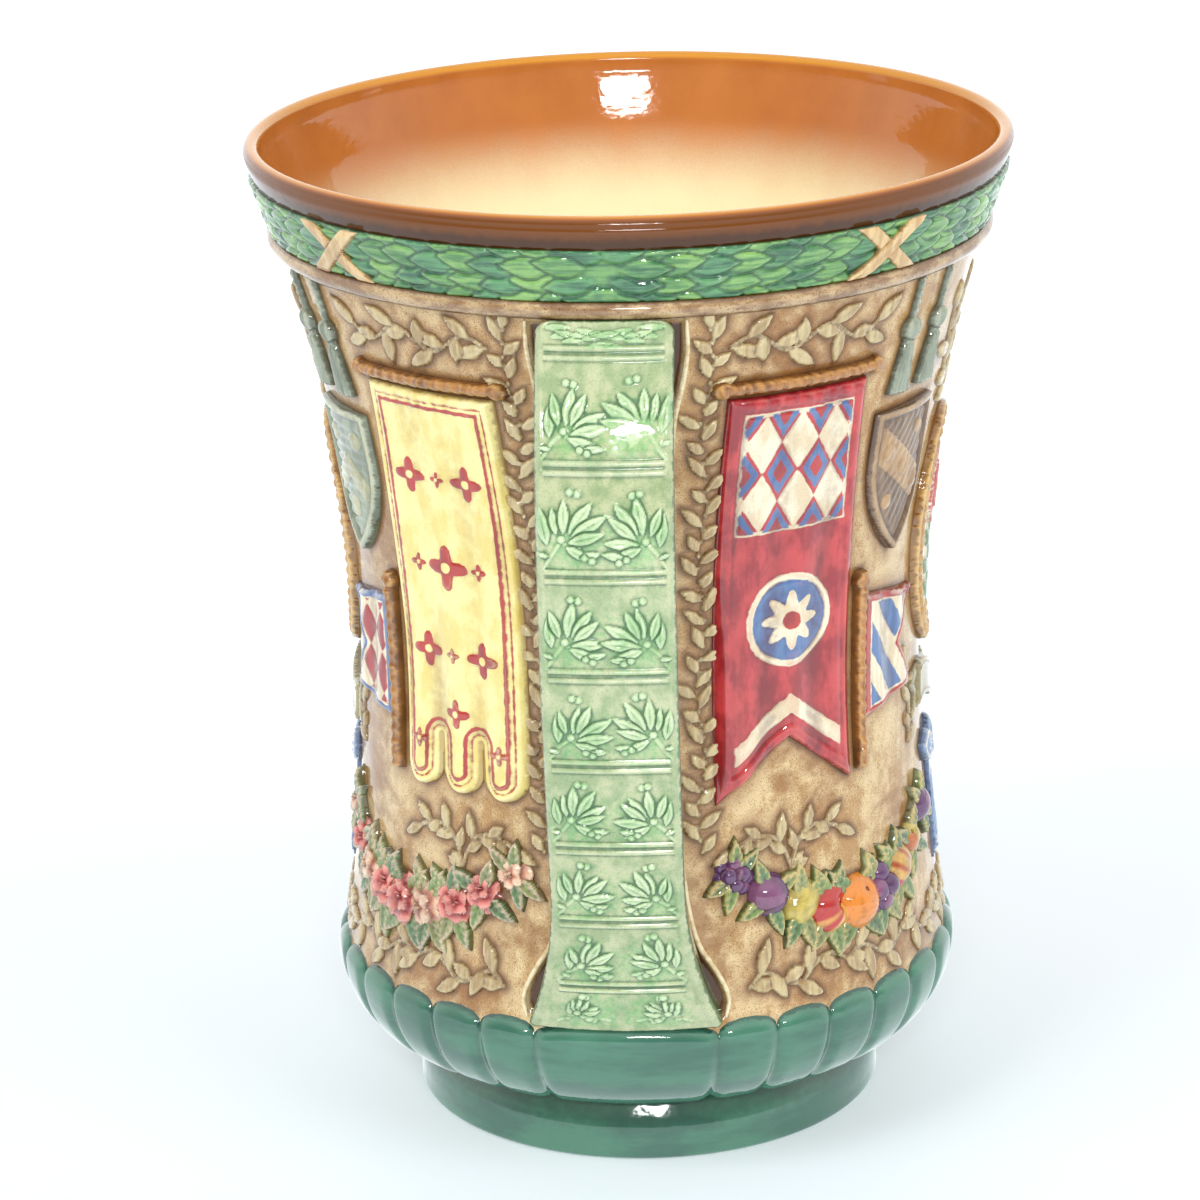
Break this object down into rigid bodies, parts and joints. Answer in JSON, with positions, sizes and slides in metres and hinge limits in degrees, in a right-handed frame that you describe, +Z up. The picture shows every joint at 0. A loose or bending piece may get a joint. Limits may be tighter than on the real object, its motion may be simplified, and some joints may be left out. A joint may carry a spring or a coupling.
{
  "type": "loving cup",
  "caption": "Loving cup of glazed relief pottery: waisted wall, strap handles, laurel band under a flared lip, lobed band over a foot ring.",
  "frame": {"origin": "centre of the foot ring's underside, on the cup's axis", "axes": "+Z up along the cup's axis; the handles lie along Y, the front one at -Y"},
  "size_m": [0.2, 0.2218, 0.265],
  "materials": {
    "wall_glaze": "gloss",
    "sea_green_glaze": "gloss",
    "cornice_glaze": "gloss",
    "laurel_glaze": "gloss",
    "ribbon_glaze": "gloss",
    "strap_glaze": "gloss",
    "crimson_glaze": "gloss",
    "gilt_brown_glaze": "gloss",
    "yellow_glaze": "gloss",
    "brown_shield_glaze": "gloss",
    "grey_green_glaze": "gloss",
    "blue_cream_glaze": "gloss",
    "red_cream_glaze": "gloss",
    "cream_glaze": "gloss",
    "ochre_glaze": "gloss",
    "olive_glaze": "gloss",
    "fruit_glaze": "gloss",
    "rose_glaze": "gloss"
  },
  "bodies": {
    "root": {"cup_body": "wall_glaze", "foot_ring": "sea_green_glaze", "lobed_band": "sea_green_glaze", "cornice_moulding": "cornice_glaze", "laurel_band": "laurel_glaze", "ribbon_tie_1": "ribbon_glaze", "ribbon_tie_2": "ribbon_glaze", "ribbon_tie_3": "ribbon_glaze", "ribbon_tie_4": "ribbon_glaze", "handle_front": "strap_glaze", "handle_back": "strap_glaze", "crimson_banner_east": "crimson_glaze", "crimson_crossbar_east": "gilt_brown_glaze", "yellow_banner_east": "yellow_glaze", "yellow_crossbar_east": "gilt_brown_glaze", "brown_shield_east": "brown_shield_glaze", "green_shield_east": "grey_green_glaze", "striped_pennant_east": "blue_cream_glaze", "striped_staff_east": "gilt_brown_glaze", "chequered_pennant_east": "red_cream_glaze", "chequered_staff_east": "gilt_brown_glaze", "medallion_east": "cream_glaze", "medallion_frame_east": "ochre_glaze", "ribbon_scroll_east": "olive_glaze", "ribbon_bow_east": "blue_cream_glaze", "autumn_festoon_east": "fruit_glaze", "rose_festoon_east": "rose_glaze", "autumn_tassels_east": "grey_green_glaze", "rose_tassels_east": "grey_green_glaze", "crimson_banner_west": "crimson_glaze", "crimson_crossbar_west": "gilt_brown_glaze", "yellow_banner_west": "yellow_glaze", "yellow_crossbar_west": "gilt_brown_glaze", "brown_shield_west": "brown_shield_glaze", "green_shield_west": "grey_green_glaze", "striped_pennant_west": "blue_cream_glaze", "striped_staff_west": "gilt_brown_glaze", "chequered_pennant_west": "red_cream_glaze", "chequered_staff_west": "gilt_brown_glaze", "medallion_west": "cream_glaze", "medallion_frame_west": "ochre_glaze", "ribbon_scroll_west": "olive_glaze", "ribbon_bow_west": "blue_cream_glaze", "autumn_festoon_west": "fruit_glaze", "rose_festoon_west": "rose_glaze", "autumn_tassels_west": "grey_green_glaze", "rose_tassels_west": "grey_green_glaze"}
  },
  "joints": []
}
